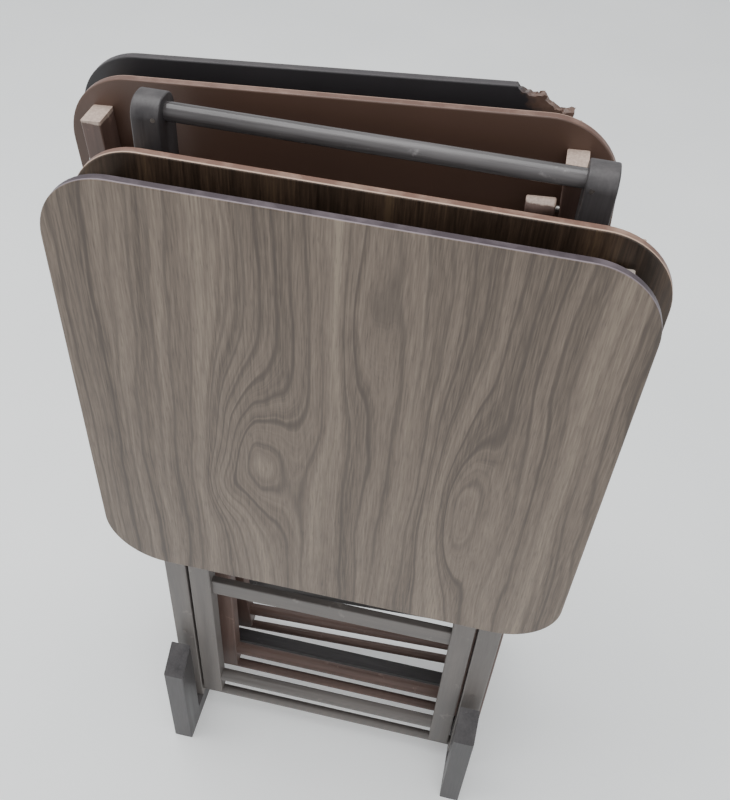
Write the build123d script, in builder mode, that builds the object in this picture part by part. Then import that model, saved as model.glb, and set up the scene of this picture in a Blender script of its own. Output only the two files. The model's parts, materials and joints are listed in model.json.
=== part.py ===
from build123d import *
import math
import os

# A set of four folded tray tables kept on a wooden stand.
# +Z is up, +X to the right, and tables 1 and 2 are in front (-Y) of the posts, 3 and 4 behind them.
# The origin is on the floor, in the middle of the whole set. Lengths are in millimetres.

# Tabletop
TOP_SIDE = 482.0
TOP_CORNER = 62.0
TOP_THICK = 9.0
TOP_EDGE_ROUND = 1.5
TOP_CENTRE_Z = 600.0

# The stack of one folded table, measured inwards from its laminate face
LEG_GAP = 11.0
LEG_DEPTH = 18.0
LEG_AXIS = TOP_THICK + LEG_GAP + LEG_DEPTH / 2
PACK_DEPTH = LEG_AXIS + LEG_DEPTH / 2

# Legs and cleats, across the table from its middle
LEG_WIDTH = 25.0
INNER_LEG_IN = 140.0
SIDE_GAP = 3.0
OUTER_LEG_IN = INNER_LEG_IN + LEG_WIDTH + SIDE_GAP
CLEAT_IN = OUTER_LEG_IN + LEG_WIDTH + SIDE_GAP
CLEAT_WIDTH = 18.0
CLEAT_HALF_LENGTH = 215.0
LEG_EDGE_ROUND = 1.5

# Heights of the folded linkage above the floor
HINGE_Z = 771.0
HINGE_TO_PIVOT = 360.0
PIVOT_TO_CATCH_DOWEL = 338.0
PIVOT_Z = HINGE_Z - HINGE_TO_PIVOT
CATCH_DOWEL_Z = PIVOT_Z + PIVOT_TO_CATCH_DOWEL
OUTER_LEG_BOTTOM = 25.3
INNER_LEG_BOTTOM = 48.0
MIDDLE_STRETCHER_Z = 288.0
LOWER_STRETCHER_Z = 79.0
OUTER_STRETCHER_Z = 40.0

# Cross members
CATCH_DOWEL_R = 6.0
LOWER_STRETCHER_R = 8.0
OUTER_STRETCHER_R = 6.0
MIDDLE_STRETCHER_HEIGHT = 25.0
MIDDLE_STRETCHER_DEPTH = 9.0
SOCKET_DEPTH = 10.0
SOCKET_END_GAP = 0.3
FIT = 0.05

# Pivot bolts
BOLT_R = 3.0
BOLT_LENGTH = 44.3
HEAD_R = 6.0
HEAD_THICK = 2.5
HEAD_GAP = 0.3

# Catches under the top, which hold the catch dowel when the table stands open
CATCH_X = 110.0
CATCH_WIDTH = 22.0
CATCH_LENGTH = 40.0
CATCH_HEIGHT = 16.0
CATCH_NOTCH_R = 6.3
CATCH_FROM_HINGE = 376.0
CATCH_NOTCH_DEPTH = 10.0
CATCH_MOUTH_OVERCUT = 1.0

# Where the tables stand: pitch from laminate face to laminate face, each one's sideways shift at the
# foot, and how far it leans to the left, in degrees, on the outer corner of its left leg
PITCH = 42.0
FACE_Y = 101.0
SHIFTS = {"table_1": 0.0, "table_2": 8.0, "table_3": 12.0, "table_4": 10.0}
LEANS = {"table_1": 0.0, "table_2": 0.0, "table_3": 4.0, "table_4": 4.5}
FRONT_TABLES = ("table_1", "table_2")
OUTSIDE_TABLES = ("table_1", "table_4")

# Stand
POST_IN = 168.0
POST_WIDTH = 24.0
POST_DEPTH = 36.0
POST_TOP = 860.0
POST_ARCH_R = 15.0
RUNNER_HEIGHT = 25.0
FOOT_HALF_LENGTH = 131.0
STOP_DEPTH = 34.0
STOP_FRONT_HEIGHT = 158.0
STOP_BACK_HEIGHT = 181.0
TOP_RAIL_Z = 846.0
TOP_RAIL_R = 8.0
LOWER_RAIL_Z = 51.0
LOWER_RAIL_HEIGHT = 26.0
LOWER_RAIL_DEPTH = 18.0
RAIL_PIN_R = 2.0
RAIL_PIN_X = POST_IN + SOCKET_DEPTH / 2
STAND_EDGE_ROUND = 1.5

LEFT = -1
RIGHT = 1
SIDES = {"left": LEFT, "right": RIGHT}

# Table 4 leans furthest to the left and table 2 stands furthest to the right, so the stand
# is this far to the right of the middle of the whole set.
LEG_CORNER_X = OUTER_LEG_IN + LEG_WIDTH
LEAN_4 = math.radians(LEANS["table_4"])
LEAN_4_RISE = TOP_CENTRE_Z - OUTER_LEG_BOTTOM
LEAN_4_MIDDLE = SHIFTS["table_4"] - LEG_CORNER_X * (1 - math.cos(LEAN_4)) - LEAN_4_RISE * math.sin(LEAN_4)
LEAN_4_REACH = (TOP_SIDE / 2 - TOP_CORNER) * (math.cos(LEAN_4) + math.sin(LEAN_4)) + TOP_CORNER
SET_LEFT = LEAN_4_MIDDLE - LEAN_4_REACH
SET_RIGHT = SHIFTS["table_2"] + TOP_SIDE / 2
STAND_X = -(SET_LEFT + SET_RIGHT) / 2

os.makedirs("parts", exist_ok=True)


def save(piece, label):
    """Labels a finished piece and writes it to its own STEP file."""
    piece.label = label
    export_step(piece, "parts/" + label + ".step")


class Stowed:
    """Where one folded table stands: x of its middle, y of its laminate face, and which way is inwards."""

    def __init__(self, name):
        self.name = name
        self.inward = 1 if name in FRONT_TABLES else -1
        rows_in = 0 if name in OUTSIDE_TABLES else 1
        self.x = STAND_X + SHIFTS[name]
        self.face_y = -self.inward * (FACE_Y - rows_in * PITCH)
        corner = Location((self.x - LEG_CORNER_X, 0, OUTER_LEG_BOTTOM))
        self.lean = corner * Location((0, 0, 0), (0, -LEANS[name], 0)) * corner.inverse()

    def y(self, depth):
        """The y of a point at a depth behind the laminate face."""
        return self.face_y + self.inward * depth

    def face_plane(self, depth, x=0.0, z=TOP_CENTRE_Z):
        """A plane parallel to the top, facing inwards, with its local y up."""
        return Plane(
            origin=(self.x + x, self.y(depth), z),
            x_dir=(-self.inward, 0, 0),
            z_dir=(0, self.inward, 0),
        )

    def side_plane(self, x, z=0.0):
        """A plane across the table at the leg axis, facing +X, with its local y up."""
        return Plane(origin=(self.x + x, self.y(LEG_AXIS), z), x_dir=(0, 1, 0), z_dir=(1, 0, 0))


def inner_edge(side, distance, width):
    """The lowest x of a member that starts a distance from the middle on one side."""
    return distance if side == RIGHT else -distance - width


def make_top(stowed):
    """The tabletop: a board with wide round corners."""
    with BuildPart() as top:
        with BuildSketch(stowed.face_plane(0)):
            RectangleRounded(TOP_SIDE, TOP_SIDE, TOP_CORNER)
        extrude(amount=TOP_THICK)
        rims = top.faces().filter_by(Axis.Y).edges()
        fillet(rims, TOP_EDGE_ROUND)
    return top.part


def make_cleat(stowed, side):
    """A batten under the top that carries the hinge bolt."""
    low_x = inner_edge(side, CLEAT_IN, CLEAT_WIDTH)
    depth = PACK_DEPTH - TOP_THICK
    with BuildPart() as cleat:
        with BuildSketch(stowed.face_plane(TOP_THICK, low_x + CLEAT_WIDTH / 2)):
            Rectangle(CLEAT_WIDTH, 2 * CLEAT_HALF_LENGTH)
        extrude(amount=depth)
        fillet(cleat.edges().filter_by(Axis.Z), LEG_EDGE_ROUND)
        with BuildSketch(stowed.side_plane(low_x, HINGE_Z)):
            Circle(BOLT_R + FIT)
        extrude(amount=CLEAT_WIDTH, mode=Mode.SUBTRACT)
    return cleat.part


def leg_blank(stowed, low_x, bottom, top):
    """A leg with a round top end, which stands from bottom to top."""
    length = top - bottom
    end_r = LEG_DEPTH / 2 - FIT
    with BuildPart() as leg:
        with BuildSketch(stowed.side_plane(low_x, bottom + length / 2)) as outline:
            Rectangle(LEG_DEPTH, length)
            fillet(outline.vertices().group_by(Axis.Y)[-1], end_r)
        extrude(amount=LEG_WIDTH)
        uprights = leg.edges().filter_by(Axis.Z)
        fillet(uprights, LEG_EDGE_ROUND)
    return leg.part


def make_outer_leg(stowed, side):
    """An outer leg with its hinge hole, its pivot hole and the socket of the outer stretcher."""
    low_x = inner_edge(side, OUTER_LEG_IN, LEG_WIDTH)
    inner_face = side * OUTER_LEG_IN
    socket_depth = side * (SOCKET_DEPTH + SOCKET_END_GAP)
    blank = leg_blank(stowed, low_x, OUTER_LEG_BOTTOM, HINGE_Z + LEG_DEPTH / 2)
    with BuildPart() as leg:
        add(blank)
        for hole_z in (HINGE_Z, PIVOT_Z):
            with BuildSketch(stowed.side_plane(low_x, hole_z)):
                Circle(BOLT_R + FIT)
            extrude(amount=LEG_WIDTH, mode=Mode.SUBTRACT)
        with BuildSketch(stowed.side_plane(inner_face, OUTER_STRETCHER_Z)):
            Circle(OUTER_STRETCHER_R + FIT)
        extrude(amount=socket_depth, mode=Mode.SUBTRACT)
    return leg.part


def make_inner_leg(stowed, side):
    """An inner leg with its pivot hole and the sockets of its three cross members."""
    low_x = inner_edge(side, INNER_LEG_IN, LEG_WIDTH)
    inner_face = side * INNER_LEG_IN
    socket_depth = side * (SOCKET_DEPTH + SOCKET_END_GAP)
    blank = leg_blank(stowed, low_x, INNER_LEG_BOTTOM, CATCH_DOWEL_Z + LEG_DEPTH / 2)
    with BuildPart() as leg:
        add(blank)
        with BuildSketch(stowed.side_plane(low_x, PIVOT_Z)):
            Circle(BOLT_R + FIT)
        extrude(amount=LEG_WIDTH, mode=Mode.SUBTRACT)
        for socket_z, socket_r in ((CATCH_DOWEL_Z, CATCH_DOWEL_R), (LOWER_STRETCHER_Z, LOWER_STRETCHER_R)):
            with BuildSketch(stowed.side_plane(inner_face, socket_z)):
                Circle(socket_r + FIT)
            extrude(amount=socket_depth, mode=Mode.SUBTRACT)
        with BuildSketch(stowed.side_plane(inner_face, MIDDLE_STRETCHER_Z)):
            Rectangle(MIDDLE_STRETCHER_DEPTH + 2 * FIT, MIDDLE_STRETCHER_HEIGHT + 2 * FIT)
        extrude(amount=socket_depth, mode=Mode.SUBTRACT)
    return leg.part


def make_dowel(stowed, z, radius, inner_face):
    """A round cross member whose ends sit in sockets in two legs."""
    reach = inner_face + SOCKET_DEPTH
    with BuildPart() as dowel:
        with BuildSketch(stowed.side_plane(-reach, z)):
            Circle(radius)
        extrude(amount=2 * reach)
    return dowel.part


def make_middle_stretcher(stowed):
    """The flat stretcher between the inner legs."""
    reach = INNER_LEG_IN + SOCKET_DEPTH
    with BuildPart() as stretcher:
        with BuildSketch(stowed.side_plane(-reach, MIDDLE_STRETCHER_Z)):
            Rectangle(MIDDLE_STRETCHER_DEPTH, MIDDLE_STRETCHER_HEIGHT)
        extrude(amount=2 * reach)
        fillet(stretcher.edges().filter_by(Axis.X), LEG_EDGE_ROUND)
    return stretcher.part


def make_pivot_bolts(stowed):
    """Four equal bolts: two hinge bolts in from the cleats, two leg bolts out from the inner legs."""
    hinge_start = CLEAT_IN + CLEAT_WIDTH + HEAD_GAP
    pivot_start = INNER_LEG_IN - HEAD_GAP
    with BuildPart() as bolts:
        for side in SIDES.values():
            for start, height, outward in ((hinge_start, HINGE_Z, -1), (pivot_start, PIVOT_Z, 1)):
                with BuildSketch(stowed.side_plane(side * start, height)):
                    Circle(BOLT_R)
                extrude(amount=side * outward * BOLT_LENGTH)
                with BuildSketch(stowed.side_plane(side * start, height)):
                    Circle(HEAD_R)
                extrude(amount=-side * outward * HEAD_THICK)
    return bolts.part


def make_catches(stowed):
    """Two blocks under the top, each with a notch that takes the catch dowel."""
    catch_z = HINGE_Z - CATCH_FROM_HINGE
    notch_y = stowed.y(TOP_THICK + CATCH_NOTCH_DEPTH) - stowed.y(LEG_AXIS)
    mouth_depth = CATCH_HEIGHT - CATCH_NOTCH_DEPTH + CATCH_MOUTH_OVERCUT
    mouth_y = notch_y + stowed.inward * mouth_depth / 2
    with BuildPart() as catches:
        for side in SIDES.values():
            with BuildSketch(stowed.face_plane(TOP_THICK, side * CATCH_X, catch_z)):
                Rectangle(CATCH_WIDTH, CATCH_LENGTH)
            extrude(amount=CATCH_HEIGHT)
            with BuildSketch(stowed.side_plane(side * CATCH_X - CATCH_WIDTH / 2, catch_z)):
                with Locations((notch_y, 0)):
                    Circle(CATCH_NOTCH_R)
                with Locations((mouth_y, 0)):
                    Rectangle(mouth_depth, 2 * CATCH_NOTCH_R)
            extrude(amount=CATCH_WIDTH, mode=Mode.SUBTRACT)
    return catches.part


def stand_side_plane(x, z=0.0):
    """A plane across the stand, facing +X, with its local y up."""
    return Plane(origin=(STAND_X + x, 0, z), x_dir=(0, 1, 0), z_dir=(1, 0, 0))


def make_post(side):
    """A stand post with an arched top, bored for the top rail and its pin."""
    low_x = inner_edge(side, POST_IN, POST_WIDTH)
    length = POST_TOP - RUNNER_HEIGHT
    socket_depth = side * (SOCKET_DEPTH + SOCKET_END_GAP)
    with BuildPart() as post:
        with BuildSketch(stand_side_plane(low_x, RUNNER_HEIGHT + length / 2)) as outline:
            Rectangle(POST_DEPTH, length)
            fillet(outline.vertices().group_by(Axis.Y)[-1], POST_ARCH_R)
        extrude(amount=POST_WIDTH)
        fillet(post.edges().filter_by(Axis.Z), STAND_EDGE_ROUND)
        with BuildSketch(stand_side_plane(side * POST_IN, TOP_RAIL_Z)):
            Circle(TOP_RAIL_R + FIT)
        extrude(amount=socket_depth, mode=Mode.SUBTRACT)
        with BuildSketch(post_front_plane()):
            with Locations((-RAIL_PIN_X, 0), (RAIL_PIN_X, 0)):
                Circle(RAIL_PIN_R + FIT)
        extrude(amount=POST_DEPTH / 2, mode=Mode.SUBTRACT)
    return post.part


def make_foot(side):
    """A cradle foot: a low runner with a tall stop at each end, whose top slopes up towards the post."""
    low_x = inner_edge(side, POST_IN, POST_WIDTH)
    stop_back = FOOT_HALF_LENGTH - STOP_DEPTH
    with BuildPart() as foot:
        with BuildSketch(stand_side_plane(low_x)):
            with BuildLine():
                Polyline(
                    (-FOOT_HALF_LENGTH, 0),
                    (FOOT_HALF_LENGTH, 0),
                    (FOOT_HALF_LENGTH, STOP_FRONT_HEIGHT),
                    (stop_back, STOP_BACK_HEIGHT),
                    (stop_back, RUNNER_HEIGHT),
                    (-stop_back, RUNNER_HEIGHT),
                    (-stop_back, STOP_BACK_HEIGHT),
                    (-FOOT_HALF_LENGTH, STOP_FRONT_HEIGHT),
                    close=True,
                )
            make_face()
        extrude(amount=POST_WIDTH)
        fillet(foot.edges().filter_by(Axis.Z), STAND_EDGE_ROUND)
    return foot.part


def make_lower_rail():
    """The flat rail between the two posts, just above the feet."""
    with BuildPart() as rail:
        with BuildSketch(stand_side_plane(-POST_IN, LOWER_RAIL_Z)):
            Rectangle(LOWER_RAIL_DEPTH, LOWER_RAIL_HEIGHT)
        extrude(amount=2 * POST_IN)
        fillet(rail.edges().filter_by(Axis.X), STAND_EDGE_ROUND)
    return rail.part


def post_front_plane():
    """The front face of the posts at the height of the top rail, facing backwards."""
    return Plane(origin=(STAND_X, -POST_DEPTH / 2, TOP_RAIL_Z), x_dir=(1, 0, 0), z_dir=(0, 1, 0))


def make_rail_pins():
    """Two pins from the posts' front faces to the ends of the top rail."""
    with BuildPart() as pins:
        with BuildSketch(post_front_plane()):
            with Locations((-RAIL_PIN_X, 0), (RAIL_PIN_X, 0)):
                Circle(RAIL_PIN_R)
        extrude(amount=POST_DEPTH / 2 - TOP_RAIL_R - FIT)
    return pins.part


def make_top_rail():
    """The round rail at the top of the stand, which is its handle."""
    reach = POST_IN + SOCKET_DEPTH
    with BuildPart() as rail:
        with BuildSketch(stand_side_plane(-reach, TOP_RAIL_Z)):
            Circle(TOP_RAIL_R)
        extrude(amount=2 * reach)
    return rail.part


def save_for(stowed, piece, label):
    """Leans one piece of a table with that table, and saves it under the table's name."""
    save(piece.moved(stowed.lean), stowed.name + "_" + label)


for table_name in SHIFTS:
    place = Stowed(table_name)
    save_for(place, make_top(place), "top")
    for side_name, side_sign in SIDES.items():
        save_for(place, make_cleat(place, side_sign), "cleat_" + side_name)
        save_for(place, make_outer_leg(place, side_sign), "outer_leg_" + side_name)
        save_for(place, make_inner_leg(place, side_sign), "inner_leg_" + side_name)
    outer_stretcher = make_dowel(place, OUTER_STRETCHER_Z, OUTER_STRETCHER_R, OUTER_LEG_IN)
    save_for(place, outer_stretcher, "outer_stretcher")
    lower_stretcher = make_dowel(place, LOWER_STRETCHER_Z, LOWER_STRETCHER_R, INNER_LEG_IN)
    save_for(place, lower_stretcher, "lower_stretcher")
    save_for(place, make_dowel(place, CATCH_DOWEL_Z, CATCH_DOWEL_R, INNER_LEG_IN), "catch_dowel")
    save_for(place, make_middle_stretcher(place), "middle_stretcher")
    save_for(place, make_pivot_bolts(place), "pivot_bolts")
    save_for(place, make_catches(place), "catches")

for side_name, side_sign in SIDES.items():
    save(make_post(side_sign), "post_" + side_name)
    save(make_foot(side_sign), "foot_" + side_name)
save(make_top_rail(), "top_rail")
save(make_lower_rail(), "lower_rail")
save(make_rail_pins(), "rail_pins")
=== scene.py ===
import json
import logging
import math
from collections.abc import Callable
from dataclasses import dataclass, field
from enum import Enum

import bpy
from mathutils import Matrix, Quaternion, Vector


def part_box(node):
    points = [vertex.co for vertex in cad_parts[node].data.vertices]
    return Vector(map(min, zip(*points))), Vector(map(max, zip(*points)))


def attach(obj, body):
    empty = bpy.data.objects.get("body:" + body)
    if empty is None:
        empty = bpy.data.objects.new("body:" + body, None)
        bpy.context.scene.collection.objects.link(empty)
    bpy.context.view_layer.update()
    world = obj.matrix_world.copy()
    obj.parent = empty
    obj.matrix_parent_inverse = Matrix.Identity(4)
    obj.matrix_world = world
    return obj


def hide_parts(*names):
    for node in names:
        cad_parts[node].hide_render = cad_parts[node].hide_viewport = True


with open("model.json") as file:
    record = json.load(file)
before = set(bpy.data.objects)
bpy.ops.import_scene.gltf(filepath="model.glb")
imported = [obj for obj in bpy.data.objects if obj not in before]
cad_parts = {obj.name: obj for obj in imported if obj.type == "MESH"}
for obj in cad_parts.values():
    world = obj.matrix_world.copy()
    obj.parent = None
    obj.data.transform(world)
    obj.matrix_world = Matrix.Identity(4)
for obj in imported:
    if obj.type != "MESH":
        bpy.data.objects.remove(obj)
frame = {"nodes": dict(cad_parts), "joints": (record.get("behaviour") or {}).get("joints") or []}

logging.basicConfig(level=logging.INFO, format="%(name)s: %(message)s")
log = logging.getLogger("tray_tables")

MM = 0.001
PAINT_IOR = 1.5
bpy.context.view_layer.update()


class Facing(Enum):
    """Which way a folded table's laminate face looks."""

    FRONT = -1
    BACK = 1


class Grain(Enum):
    """Which way the wood's grain runs in a piece: the stretch is along that axis."""

    UPRIGHT = (1.0, 1.0, 0.06)
    ACROSS = (0.06, 1.0, 1.0)


@dataclass(frozen=True)
class Knot:
    """A knot or cathedral in the laminate's print, placed from the middle of the tray, in millimetres."""

    across: float
    up: float
    half_width: float
    half_height: float
    rings: float


@dataclass(frozen=True)
class BoardFinish:
    """A tray board: printed laminate on the face, a painted rim and a painted underside."""

    name: str
    slot: str
    tones: tuple[str, str, str, str]
    rim: str
    rim_line: str
    underside: str
    ring_mm: float = 15.0
    swell_rings: float = 6.0
    line_strength: float = 0.75
    face_roughness: float = 0.42
    knots: tuple[Knot, ...] = ()


@dataclass(frozen=True)
class WoodFinish:
    """Painted or stained solid wood: a base tone, its worn tone, and the bare wood at sawn ends."""

    name: str
    base: str
    worn: str
    bare: str
    roughness: float = 0.45
    wear: float = 0.62


def linear(hex_colour: str) -> tuple[float, float, float, float]:
    """Turns an sRGB hex colour to linear.

    Args:
        hex_colour: Six hex digits, with or without a leading hash.

    Returns:
        Linear red, green and blue, with alpha 1.
    """
    digits = hex_colour.lstrip("#")
    channels = [int(digits[i:i + 2], 16) / 255 for i in (0, 2, 4)]
    low_part, power = 0.04045, 2.4
    values = [c / 12.92 if c <= low_part else ((c + 0.055) / 1.055) ** power for c in channels]
    return (values[0], values[1], values[2], 1.0)


def add_node(tree: bpy.types.NodeTree, kind: str, inputs: dict | None = None,
             stops: tuple = (), **settings: object) -> bpy.types.Node:
    """Adds a node with its settings and links.

    Args:
        tree: The material's node tree.
        kind: The node's type name.
        inputs: Socket name or number to a value, or to the socket that it is linked from.
        stops: For a colour ramp, pairs of position and hex colour.
        **settings: Properties of the node.

    Returns:
        The new node.
    """
    node = tree.nodes.new(kind)
    for name, value in settings.items():
        setattr(node, name, value)
    for position, colour in stops[2:]:
        node.color_ramp.elements.new(position)
    for element, (position, colour) in zip(node.color_ramp.elements if stops else (), stops):
        element.position = position
        element.color = linear(colour)
    for name, value in (inputs or {}).items():
        if isinstance(value, bpy.types.NodeSocket):
            tree.links.new(value, node.inputs[name])
        else:
            node.inputs[name].default_value = value
    return node


def new_material(name: str) -> tuple[bpy.types.Material, bpy.types.NodeTree, bpy.types.Node]:
    """Starts a material with a Principled shader.

    Args:
        name: The material's name.

    Returns:
        The material, its node tree and its shader node.
    """
    material = bpy.data.materials.new(name)
    material.use_nodes = True
    tree = material.node_tree
    return material, tree, tree.nodes["Principled BSDF"]


def maths(tree: bpy.types.NodeTree, operation: str, *values: object) -> bpy.types.NodeSocket:
    """Adds a Math node.

    Args:
        tree: The material's node tree.
        operation: What it works out.
        *values: Its inputs in order, numbers or sockets.

    Returns:
        Its result.
    """
    return add_node(tree, "ShaderNodeMath", dict(enumerate(values)), operation=operation).outputs[0]


def noise(tree: bpy.types.NodeTree, place: bpy.types.NodeSocket, scale: float, detail: float,
          roughness: float = 0.5) -> bpy.types.NodeSocket:
    """Adds a noise texture.

    Args:
        tree: The material's node tree.
        place: Where it is read.
        scale: Its scale.
        detail: How many finer layers it has.
        roughness: How strong the finer layers are.

    Returns:
        Its value, about 0.5 on average.
    """
    inputs = {"Vector": place, "Scale": scale, "Detail": detail, "Roughness": roughness}
    return add_node(tree, "ShaderNodeTexNoise", inputs).outputs[0]


def stretched(tree: bpy.types.NodeTree, place: bpy.types.NodeSocket,
              scale: tuple[float, float, float]) -> bpy.types.NodeSocket:
    """Scales a place along each axis.

    Args:
        tree: The material's node tree.
        place: The place.
        scale: The scale along X, Y and Z.

    Returns:
        The scaled place.
    """
    return add_node(tree, "ShaderNodeMapping", {"Vector": place, "Scale": scale}).outputs[0]


def ramp(tree: bpy.types.NodeTree, value: bpy.types.NodeSocket, low: float, high: float,
         at_low: float = 0.0, at_high: float = 1.0) -> bpy.types.NodeSocket:
    """Maps a value's range to another range, and holds it at the ends.

    Args:
        tree: The material's node tree.
        value: The value.
        low: Where the range starts.
        high: Where the range ends.
        at_low: The result at the start.
        at_high: The result at the end.

    Returns:
        The result.
    """
    inputs = {"Value": value, "From Min": low, "From Max": high, "To Min": at_low, "To Max": at_high}
    return add_node(tree, "ShaderNodeMapRange", inputs).outputs[0]


def blend(tree: bpy.types.NodeTree, share: bpy.types.NodeSocket, first: object,
          second: object) -> bpy.types.NodeSocket:
    """Mixes two colours.

    Args:
        tree: The material's node tree.
        share: How much of the second colour there is.
        first: The first colour, as a hex string or a socket.
        second: The second colour, as a hex string or a socket.

    Returns:
        The mixed colour.
    """
    colours = [linear(colour) if isinstance(colour, str) else colour for colour in (first, second)]
    share_socket, first_socket, second_socket, colour_result = 0, 6, 7, 2
    inputs = {share_socket: share, first_socket: colours[0], second_socket: colours[1]}
    return add_node(tree, "ShaderNodeMix", inputs, data_type="RGBA").outputs[colour_result]


def plug_in(tree: bpy.types.NodeTree, shader: bpy.types.Node, **sockets: bpy.types.NodeSocket) -> None:
    """Links sockets to the shader's inputs.

    Args:
        tree: The material's node tree.
        shader: The shader node.
        **sockets: The shader's input, with an underscore for each space, to the socket that drives it.
    """
    for name, socket in sockets.items():
        tree.links.new(socket, shader.inputs[name.replace("_", " ")])


def dress(node_name: str, material: bpy.types.Material) -> None:
    """Gives a CAD node one material.

    Args:
        node_name: The node.
        material: The material.
    """
    mesh = frame["nodes"][node_name].data
    mesh.materials.clear()
    mesh.materials.append(material)


def deselect() -> None:
    """Deselects everything."""
    bpy.ops.object.select_all(action="DESELECT")


def settle(piece: bpy.types.Object, name: str, material: bpy.types.Material, body: str) -> None:
    """Puts a finished piece's place into its mesh, and sets its name, finish and body.

    Args:
        piece: The new object.
        name: Its name.
        material: Its material.
        body: The body that it rides on.
    """
    deselect()
    piece.select_set(True)
    bpy.context.view_layer.objects.active = piece
    bpy.ops.object.transform_apply(location=True, rotation=True, scale=True)
    piece.name = name
    piece.data.name = name
    piece.data.materials.clear()
    piece.data.materials.append(material)
    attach(piece, body)
    log.info("%s on %s, %d faces", name, body, len(piece.data.polygons))


def knotted_rings(tree: bpy.types.NodeTree, finish: BoardFinish,
                  place: bpy.types.NodeSocket) -> bpy.types.NodeSocket:
    """Counts the growth rings across the print; they swell slowly and close round each knot.

    Args:
        tree: The material's node tree.
        finish: The board's finish.
        place: The place from the middle of the laminate face.

    Returns:
        The ring number.
    """
    across, _, up = add_node(tree, "ShaderNodeSeparateXYZ", {0: place}).outputs
    # The print warps the straight grain slowly: one swell is about 150 mm across and 500 mm long.
    slow = noise(tree, stretched(tree, place, (6.5, 1.0, 1.9)), 1.0, 4.0, 0.45)
    swell = maths(tree, "MULTIPLY", slow, finish.swell_rings)
    rings = maths(tree, "MULTIPLY_ADD", across, 1 / (finish.ring_mm * MM), swell)
    for knot in finish.knots:
        wide = maths(tree, "DIVIDE", maths(tree, "SUBTRACT", across, knot.across * MM), knot.half_width * MM)
        tall = maths(tree, "DIVIDE", maths(tree, "SUBTRACT", up, knot.up * MM), knot.half_height * MM)
        away = maths(tree, "MULTIPLY_ADD", tall, tall, maths(tree, "MULTIPLY", wide, wide))
        hill = maths(tree, "EXPONENT", maths(tree, "MULTIPLY", away, -1.0))
        rings = maths(tree, "MULTIPLY_ADD", hill, knot.rings, rings)
    return rings


def walnut_print(tree: bpy.types.NodeTree, finish: BoardFinish, place: bpy.types.NodeSocket,
                 fibre: bpy.types.NodeSocket, pore: bpy.types.NodeSocket) -> bpy.types.NodeSocket:
    """The printed walnut: soft bands and streaks, fine fibres, dark ring lines and pores.

    Args:
        tree: The material's node tree.
        finish: The board's finish.
        place: The place from the middle of the laminate face.
        fibre: The fine fibres.
        pore: The pores.

    Returns:
        The print's colour.
    """
    rings = knotted_rings(tree, finish, place)
    up = add_node(tree, "ShaderNodeSeparateXYZ", {0: place}).outputs[2]
    wave = maths(tree, "SINE", maths(tree, "MULTIPLY", rings, 2 * math.pi))
    line = ramp(tree, wave, 0.62, 1.0)
    # Streaks a few millimetres wide and soft bands follow the rings.
    in_rings = add_node(tree, "ShaderNodeCombineXYZ", {0: rings, 1: 0.0, 2: up}).outputs[0]
    streak = noise(tree, stretched(tree, in_rings, (2.6, 1.0, 2.4)), 1.0, 6.0, 0.7)
    band = noise(tree, stretched(tree, in_rings, (0.5, 1.0, 1.1)), 1.0, 2.0)
    band_share, streak_share, fibre_share = 0.62, 0.5, 0.42
    tone = maths(tree, "MULTIPLY_ADD", streak, streak_share, maths(tree, "MULTIPLY", band, band_share))
    tone = maths(tree, "MULTIPLY_ADD", fibre, fibre_share, tone)
    tone_places = (0.58, 0.71, 0.83, 0.97)
    stops = tuple(zip(tone_places, finish.tones))
    plain = add_node(tree, "ShaderNodeValToRGB", {0: tone}, stops=stops).outputs[0]
    # The dark ring lines come and go along the board.
    fade = ramp(tree, band, 0.42, 0.66, finish.line_strength, 0.05)
    lined = blend(tree, maths(tree, "MULTIPLY", line, fade), plain, finish.tones[0])
    return blend(tree, ramp(tree, pore, 0.58, 0.70, 0.0, 0.35), lined, finish.tones[0])


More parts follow.
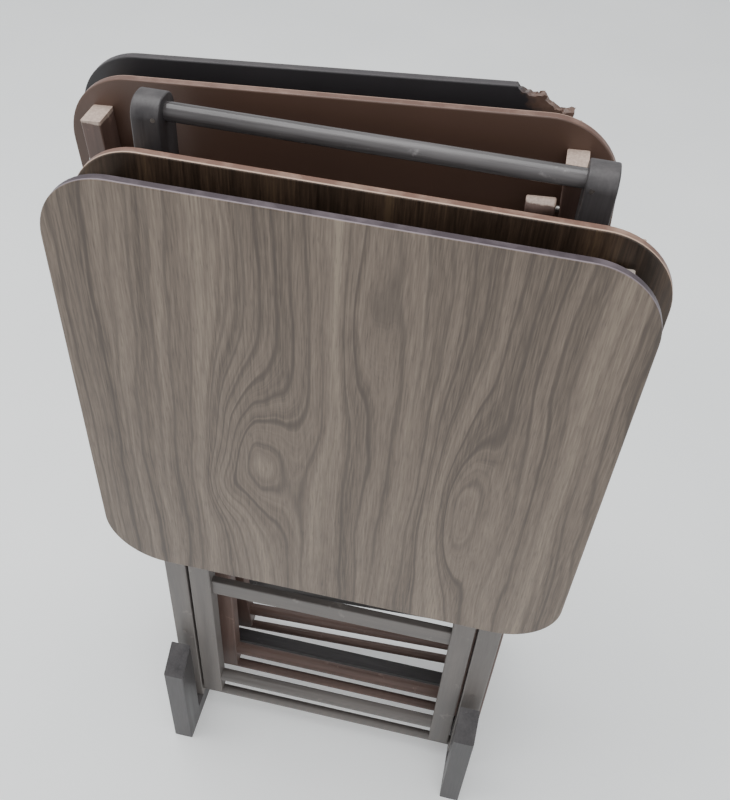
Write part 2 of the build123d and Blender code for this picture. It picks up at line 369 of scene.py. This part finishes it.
def board_material(finish: BoardFinish, face: Facing, centre: Vector, thickness: float) -> bpy.types.Material:
    """Melamine laminate printed as walnut on a painted board; satin, with fine pores pressed into it.

    Args:
        finish: The board's finish.
        face: Which way the laminate looks.
        centre: The middle of the laminate face.
        thickness: The board's thickness.

    Returns:
        The material, on Object coordinates.
    """
    material, tree, shader = new_material(finish.name)
    place = add_node(tree, "ShaderNodeTexCoord").outputs["Object"]
    moved = add_node(tree, "ShaderNodeMapping", {"Vector": place, "Location": -centre}).outputs[0]
    # Fibres are about a millimetre wide; pores are dark dashes under a millimetre wide, about 10 mm long.
    fibre = noise(tree, stretched(tree, moved, (640.0, 1.0, 34.0)), 1.0, 3.0)
    pore = noise(tree, stretched(tree, moved, (900.0, 1.0, 70.0)), 1.0, 1.0)
    printed = walnut_print(tree, finish, moved, fibre, pore)
    # Depth below the laminate face picks face, rim or underside.
    through = add_node(tree, "ShaderNodeSeparateXYZ", {0: moved}).outputs[1]
    depth = maths(tree, "MULTIPLY", through, -float(face.value))
    below_face = ramp(tree, depth, 0.5 * MM, 0.9 * MM)
    past_line = ramp(tree, depth, 1.5 * MM, 2.1 * MM)
    under = ramp(tree, depth, thickness - 0.9 * MM, thickness - 0.4 * MM)
    scuffed = ramp(tree, noise(tree, moved, 45.0, 4.0), 0.48, 0.72, 0.0, 0.4)
    rim = blend(tree, past_line, finish.rim_line, blend(tree, scuffed, finish.rim, finish.rim_line))
    cloudy = ramp(tree, noise(tree, moved, 9.0, 5.0), 0.3, 0.75, 0.0, 0.4)
    underside = blend(tree, cloudy, finish.underside, finish.rim)
    colour = blend(tree, under, blend(tree, below_face, printed, rim), underside)
    gloss = ramp(tree, fibre, 0.2, 0.8, finish.face_roughness - 0.06, finish.face_roughness + 0.1)
    dents = {"Height": pore, "Strength": 0.12, "Distance": 0.2 * MM}
    bump = add_node(tree, "ShaderNodeBump", dents).outputs[0]
    plug_in(tree, shader, Base_Color=colour, Roughness=gloss, Normal=bump)
    shader.inputs["IOR"].default_value = PAINT_IOR
    return material


def wood_material(finish: WoodFinish, grain: Grain, bare_above: float | None = None) -> bpy.types.Material:
    """Beech under satin paint or stain: the grain shows as fine ridges, and rubbed spots show lighter.

    Args:
        finish: The wood's finish.
        grain: Which way its grain runs.
        bare_above: The height of its sawn top end, where bare wood shows, in metres.

    Returns:
        The material, on Object coordinates.
    """
    material, tree, shader = new_material(finish.name)
    place = add_node(tree, "ShaderNodeTexCoord").outputs["Object"]
    along = stretched(tree, place, grain.value)
    # Grain ridges about 2 mm apart, over broader streaks.
    ridge = noise(tree, along, 480.0, 3.0)
    broad = noise(tree, along, 70.0, 4.0)
    rub = noise(tree, place, 38.0, 6.0, 0.65)
    tone = ramp(tree, maths(tree, "MULTIPLY_ADD", ridge, 0.35, broad), 0.45, 0.95, 0.0, 0.45)
    painted = blend(tree, tone, finish.base, finish.worn)
    spots = ramp(tree, rub, finish.wear, finish.wear + 0.08, 0.0, 0.7)
    colour = blend(tree, spots, painted, finish.worn)
    if bare_above is not None:
        # The paint has a ragged edge a few millimetres below the sawn end.
        height = add_node(tree, "ShaderNodeSeparateXYZ", {0: place}).outputs[2]
        ragged = maths(tree, "MULTIPLY_ADD", rub, 9 * MM, height)
        bare = ramp(tree, ragged, bare_above + 1.5 * MM, bare_above + 2.5 * MM)
        colour = blend(tree, bare, colour, blend(tree, ridge, finish.bare, finish.worn))
    gloss = ramp(tree, broad, 0.3, 0.7, finish.roughness - 0.08, finish.roughness + 0.12)
    ridges = {"Height": ridge, "Strength": 0.25, "Distance": 0.3 * MM}
    bump = add_node(tree, "ShaderNodeBump", ridges).outputs[0]
    plug_in(tree, shader, Base_Color=colour, Roughness=gloss, Normal=bump)
    shader.inputs["IOR"].default_value = PAINT_IOR
    return material


def steel_material() -> bpy.types.Material:
    """Zinc-plated steel, turned: pale grey metal with fine turning marks and dull patches.

    Returns:
        The material, on Object coordinates.
    """
    material, tree, shader = new_material("zinc_plated_steel")
    place = add_node(tree, "ShaderNodeTexCoord").outputs["Object"]
    marks = noise(tree, place, 900.0, 2.0)
    patch = noise(tree, place, 160.0, 3.0)
    gloss = ramp(tree, marks, 0.0, 1.0, 0.28, 0.5)
    plug_in(tree, shader, Base_Color=blend(tree, patch, "8f8d8b", "b7b5b1"), Roughness=gloss)
    shader.inputs["Metallic"].default_value = 1.0
    return material


@dataclass
class TrayTable:
    """One folded table: its board, battens, legs, cross members and fastenings."""

    name: str
    facing: Facing
    board: BoardFinish
    wood: WoodFinish
    folds: bool
    plug_radius: float = 3.2 * MM
    plug_proud: float = 0.5 * MM
    plug_heights: tuple[float, ...] = (0.182, 0.135)
    materials: dict[str, bpy.types.Material] = field(default_factory=dict)

    def body(self, part: str) -> str:
        """The body that a part of this table rides on.

        Args:
            part: The part, when the table is split into bodies.

        Returns:
            The body's name.
        """
        return f"{self.name}_{part}" if self.folds else self.name

    def board_box(self) -> tuple[Vector, Vector]:
        """The board's lowest and highest corners.

        Returns:
            The two corners.
        """
        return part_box(self.name + "_top")

    def finish(self, steel: bpy.types.Material) -> None:
        """Gives each CAD node of the table its material.

        Args:
            steel: The bolts' material.
        """
        low, high = self.board_box()
        face_y = low.y if self.facing is Facing.FRONT else high.y
        centre = Vector(((low.x + high.x) / 2, face_y, (low.z + high.z) / 2))
        self.materials["board"] = board_material(self.board, self.facing, centre, high.y - low.y)
        self.materials["upright"] = wood_material(self.wood, Grain.UPRIGHT)
        self.materials["across"] = wood_material(self.wood, Grain.ACROSS)
        dress(self.name + "_top", self.materials["board"])
        for side in ("left", "right"):
            for part in ("cleat", "outer_leg"):
                node = f"{self.name}_{part}_{side}"
                dress(node, wood_material(self.wood, Grain.UPRIGHT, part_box(node)[1].z))
            dress(f"{self.name}_inner_leg_{side}", self.materials["upright"])
        for part in ("outer_stretcher", "lower_stretcher", "middle_stretcher", "catch_dowel"):
            dress(f"{self.name}_{part}", self.materials["across"])
        dress(self.name + "_catches", self.materials["upright"])
        dress(self.name + "_pivot_bolts", steel)

    def add_plugs(self) -> None:
        """Models the wood plugs over the screws on the face of the outer legs that looks outward."""
        for side in ("left", "right"):
            low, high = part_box(f"{self.name}_outer_leg_{side}")
            face_y = low.y if self.facing is Facing.FRONT else high.y
            for number, height in enumerate(self.plug_heights, start=1):
                deselect()
                depth = 2 * self.plug_proud
                bpy.ops.mesh.primitive_cylinder_add(
                    vertices=24, radius=self.plug_radius, depth=depth,
                    location=((low.x + high.x) / 2, face_y, height), rotation=(math.pi / 2, 0, 0))
                plug = bpy.context.object
                bpy.ops.object.mode_set(mode="EDIT")
                bpy.ops.mesh.select_all(action="SELECT")
                bpy.ops.mesh.bevel(offset=self.plug_proud * 0.6, segments=2)
                bpy.ops.object.mode_set(mode="OBJECT")
                settle(plug, f"{self.name}_leg_plug_{side}_{number}", self.materials["across"],
                       self.body("outer_frame"))


@dataclass
class BrokenBoard:
    """The tray whose upper right corner has broken away, so that its brown core shows."""

    table: TrayTable
    corner_radius: float = 62 * MM
    edge_round: float = 1.5 * MM
    bites: tuple[tuple[float, float, float], ...] = ((172, 250, 18), (200, 240, 20), (232, 214, 27))
    roughness: float = 4 * MM
    fewest_faces: int = 400

    def cutter(self, bite: tuple[float, float, float], seed: int) -> bpy.types.Object:
        """A rough lump that takes one bite out of the board.

        Args:
            bite: Place across and up from the board's middle, and radius, in millimetres.
            seed: Seed of the lump's roughness.

        Returns:
            The lump.
        """
        across, up, radius = (value * MM for value in bite)
        deselect()
        bpy.ops.mesh.primitive_ico_sphere_add(subdivisions=4, radius=radius, location=(across, 0, up))
        lump = bpy.context.object
        bpy.ops.object.mode_set(mode="EDIT")
        bpy.ops.mesh.select_all(action="SELECT")
        bpy.ops.transform.vertex_random(offset=self.roughness * 0.5, seed=seed)
        bpy.ops.object.mode_set(mode="OBJECT")
        return lump

    def lean(self) -> float:
        """How far the table leans to the left: its hinge axis rises by that much.

        Returns:
            The angle, in radians.
        """
        name = self.table.name + "_top_swing"
        axis = next(joint["axis"] for joint in frame["joints"] if joint["name"] == name)
        return math.atan2(abs(axis[2]), abs(axis[0]))

    def build(self) -> None:
        """Models the board, breaks its corner and puts it in the CAD board's place."""
        low, high = self.table.board_box()
        lean = self.lean()
        thickness = high.y - low.y
        flat_half = ((high.x - low.x) / 2 - self.corner_radius) / (math.cos(lean) + math.sin(lean))
        side = 2 * (flat_half + self.corner_radius)
        deselect()
        bpy.ops.mesh.primitive_cube_add(size=1, location=(0, 0, 0), scale=(side, thickness, side))
        board = bpy.context.object
        bpy.ops.object.transform_apply(location=True, rotation=True, scale=True)
        corner_steps, rim_steps = 18, 3
        same_depth = self.edge_round / 10
        self.bevel_edges(board, lambda a, b: abs(a.y - b.y) > thickness / 2, self.corner_radius, corner_steps)
        self.bevel_edges(board, lambda a, b: abs(a.y - b.y) < same_depth, self.edge_round, rim_steps)
        for seed, bite in enumerate(self.bites, start=1):
            lump = self.cutter(bite, seed)
            deselect()
            board.select_set(True)
            bpy.context.view_layer.objects.active = board
            cut = board.modifiers.new("bite", "BOOLEAN")
            cut.operation = "DIFFERENCE"
            cut.solver = "EXACT"
            cut.object = lump
            bpy.ops.object.modifier_apply(modifier=cut.name)
            bpy.data.objects.remove(lump)
        if len(board.data.polygons) < self.fewest_faces or board.dimensions.x < side / 2:
            raise RuntimeError("the broken board collapsed in the cut")
        board.rotation_euler = (0, -lean, 0)
        board.location = (low + high) / 2
        settle(board, self.table.name + "_broken_board", self.material(low, high, lean),
               self.table.body("tray"))
        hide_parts(self.table.name + "_top")

    def bevel_edges(self, board: bpy.types.Object, chosen: Callable[[Vector, Vector], bool], width: float,
                    segments: int) -> None:
        """Bevels the edges that a test of their two ends picks.

        Args:
            board: The board.
            chosen: A test of an edge's two end points.
            width: The bevel's width.
            segments: The bevel's number of steps.
        """
        bpy.ops.object.mode_set(mode="EDIT")
        bpy.ops.mesh.select_all(action="DESELECT")
        bpy.ops.mesh.select_mode(type="EDGE")
        bpy.ops.object.mode_set(mode="OBJECT")
        points = board.data.vertices
        for edge in board.data.edges:
            start, end = (points[index].co for index in edge.vertices)
            edge.select = bool(chosen(start, end))
        bpy.ops.object.mode_set(mode="EDIT")
        bpy.ops.mesh.bevel(offset=width, segments=segments, clamp_overlap=False)
        bpy.ops.object.mode_set(mode="OBJECT")

    def material(self, low: Vector, high: Vector, lean: float) -> bpy.types.Material:
        """The board's finish with torn brown fibreboard near the broken corner.

        Args:
            low: The board's lowest corner.
            high: The board's highest corner.
            lean: How far it leans, in radians.

        Returns:
            The material, on Object coordinates.
        """
        centre = Vector(((low.x + high.x) / 2, high.y, (low.z + high.z) / 2))
        material = board_material(self.table.board, self.table.facing, centre, high.y - low.y)
        tree = material.node_tree
        shader = tree.nodes["Principled BSDF"]
        painted = shader.inputs["Base Color"].links[0].from_socket
        place = add_node(tree, "ShaderNodeTexCoord").outputs["Object"]
        in_board = Vector((200 * MM, 0, 240 * MM))
        break_point = centre + Quaternion((0, 1, 0), -lean) @ in_board
        away = add_node(tree, "ShaderNodeVectorMath", {0: place, 1: break_point},
                        operation="DISTANCE").outputs["Value"]
        rough = noise(tree, place, 140.0, 5.0)
        ragged = maths(tree, "MULTIPLY_ADD", rough, 30 * MM, away)
        torn = ramp(tree, ragged, 44 * MM, 54 * MM, 1.0, 0.0)
        colour = blend(tree, torn, painted, blend(tree, rough, "3a2a24", "7d6458"))
        plug_in(tree, shader, Base_Color=colour)
        return material


@dataclass
class Stand:
    """The wooden stand: two posts, two cradle feet, the round rail and the lower rail."""

    wood: WoodFinish
    rail: WoodFinish

    def finish(self, steel: bpy.types.Material) -> None:
        """Gives the stand's CAD nodes their materials.

        Args:
            steel: The pins' material.
        """
        upright = wood_material(self.wood, Grain.UPRIGHT)
        across = wood_material(self.rail, Grain.ACROSS)
        for side in ("left", "right"):
            dress("post_" + side, upright)
            dress("foot_" + side, upright)
        dress("top_rail", across)
        dress("lower_rail", wood_material(self.wood, Grain.ACROSS))
        dress("rail_pins", steel)


@dataclass
class Studio:
    """The floor, the soft lights and the camera."""

    camera_at: Vector = field(default_factory=lambda: Vector((0.1376, -0.655, 1.233)))
    looks_at: Vector = field(default_factory=lambda: Vector((0.0474, -0.101, 0.6665)))
    roll: float = math.radians(4.26)
    lens: float = 42.75
    floor_side: float = 12.0
    floor_glow: float = 0.25
    sky_strength: float = 0.82

    def floor(self) -> None:
        """A pale, faintly clouded floor, which glows a little in place of the room's light."""
        deselect()
        bpy.ops.mesh.primitive_plane_add(size=self.floor_side, location=(0, 0, 0))
        ground = bpy.context.object
        ground.name = "floor"
        material, tree, shader = new_material("polished_concrete")
        place = add_node(tree, "ShaderNodeTexCoord").outputs["Object"]
        cloud = noise(tree, place, 2.2, 6.0)
        plug_in(tree, shader, Base_Color=blend(tree, cloud, "dfe3e3", "fafbfa"))
        shader.inputs["Roughness"].default_value = 0.6
        shader.inputs["Emission Color"].default_value = linear("ffffff")
        shader.inputs["Emission Strength"].default_value = self.floor_glow
        ground.data.materials.append(material)

    def light(self, name: str, at: tuple[float, float, float], side: float, power: float) -> None:
        """Adds one square area light that looks at the middle of the set.

        Args:
            name: The light's name.
            at: Its place.
            side: Its side.
            power: Its power in watts.
        """
        data = bpy.data.lights.new(name, "AREA")
        data.size = side
        data.energy = power
        lamp = bpy.data.objects.new(name, data)
        lamp.location = at
        lamp.rotation_euler = (Vector((0, 0, 0.5)) - Vector(at)).to_track_quat("-Z", "Y").to_euler()
        bpy.context.scene.collection.objects.link(lamp)

    def build(self) -> None:
        """Makes the floor, the lights, the sky and the camera."""
        self.floor()
        self.light("overhead", (-0.5, 0.1, 3.0), 2.2, 62.0)
        self.light("front_fill", (1.6, -2.6, 2.4), 2.4, 27.0)
        self.light("left_fill", (-2.8, -0.6, 1.8), 1.8, 20.0)
        world = bpy.data.worlds.new("studio")
        world.use_nodes = True
        sky = world.node_tree.nodes["Background"]
        sky.inputs[0].default_value = linear("e8ebee")
        sky.inputs[1].default_value = self.sky_strength
        bpy.context.scene.world = world
        data = bpy.data.cameras.new("camera")
        data.sensor_fit = "VERTICAL"
        data.sensor_height = 36.0
        data.lens = self.lens
        camera = bpy.data.objects.new("camera", data)
        aim = (self.looks_at - self.camera_at).to_track_quat("-Z", "Y")
        camera.rotation_mode = "QUATERNION"
        camera.rotation_quaternion = aim @ Quaternion((0, 0, 1), self.roll)
        camera.location = self.camera_at
        bpy.context.scene.collection.objects.link(camera)
        bpy.context.scene.camera = camera


# Grey-brown walnut print, soft and low in contrast, with one knot and a few cathedrals; mauve-grey rim.
GREY_WALNUT = BoardFinish(
    name="grey_walnut_laminate", slot="laminate_grey",
    tones=("3f342c", "5c4f44", "706256", "857767"), rim="3b3036", rim_line="7c7076", underside="4a4240",
    knots=(Knot(-75, -40, 34, 95, 4.2), Knot(-105, -85, 18, 40, 2.2), Knot(120, -60, 26, 110, 3.6),
           Knot(20, 150, 22, 120, 1.6)))
# Dark walnut print in fine straight streaks; brown rim with a thin pale line.
DARK_WALNUT = BoardFinish(
    name="dark_walnut_laminate", slot="laminate_brown",
    tones=("21170f", "35281e", "46362a", "594735"), rim="6e5043", rim_line="bfa28e", underside="4a352b",
    ring_mm=11.0, swell_rings=3.0, line_strength=0.5)
# Brown laminate, whose warm brown painted underside is what the front view shows.
BROWN_BOARD = BoardFinish(
    name="brown_painted_board", slot="board_brown",
    tones=("2e221c", "45352b", "57453a", "6b5849"), rim="63483d", rim_line="a68a7b", underside="523e34")
# Near-black laminate and underside, a little grey where the light catches the rim.
BLACK_BOARD = BoardFinish(
    name="black_painted_board", slot="board_black",
    tones=("201c1b", "2c2725", "38322f", "453e39"), rim="3c383a", rim_line="55504f", underside="2a282a")

# Beech legs and battens: warm grey paint, brown stain or near-black paint, pale at the sawn ends.
GREY_PAINT = WoodFinish("grey_painted_beech", base="585350", worn="857e79", bare="cdbfb2")
BROWN_STAIN = WoodFinish("brown_stained_beech", base="523f38", worn="8f766c", bare="d8c6b6", wear=0.64)
BLACK_PAINT = WoodFinish("black_painted_beech", base="3a3839", worn="77736f", bare="b9a797")
# The stand: charcoal paint, rubbed shiny on the carrying rail.
STAND_PAINT = WoodFinish("charcoal_painted_beech", base="302d2e", worn="6b6767", bare="b0aaa6", wear=0.66)
RAIL_PAINT = WoodFinish("rubbed_charcoal_beech", base="3a3737", worn="8f8b8b", bare="b0aaa6", roughness=0.22)


def main() -> None:
    """Builds the looks of the set, piece by piece."""
    steel = steel_material()
    tables = (
        TrayTable("table_1", Facing.FRONT, GREY_WALNUT, GREY_PAINT, folds=True),
        TrayTable("table_2", Facing.FRONT, DARK_WALNUT, BROWN_STAIN, folds=False),
        TrayTable("table_3", Facing.BACK, BROWN_BOARD, BROWN_STAIN, folds=False),
        TrayTable("table_4", Facing.BACK, BLACK_BOARD, BLACK_PAINT, folds=True),
    )
    for table in tables:
        table.finish(steel)
        log.info("%s dressed", table.name)
    tables[0].add_plugs()
    BrokenBoard(tables[3]).build()
    Stand(STAND_PAINT, RAIL_PAINT).finish(steel)
    Studio().build()


if __name__ == "__main__":
    main()
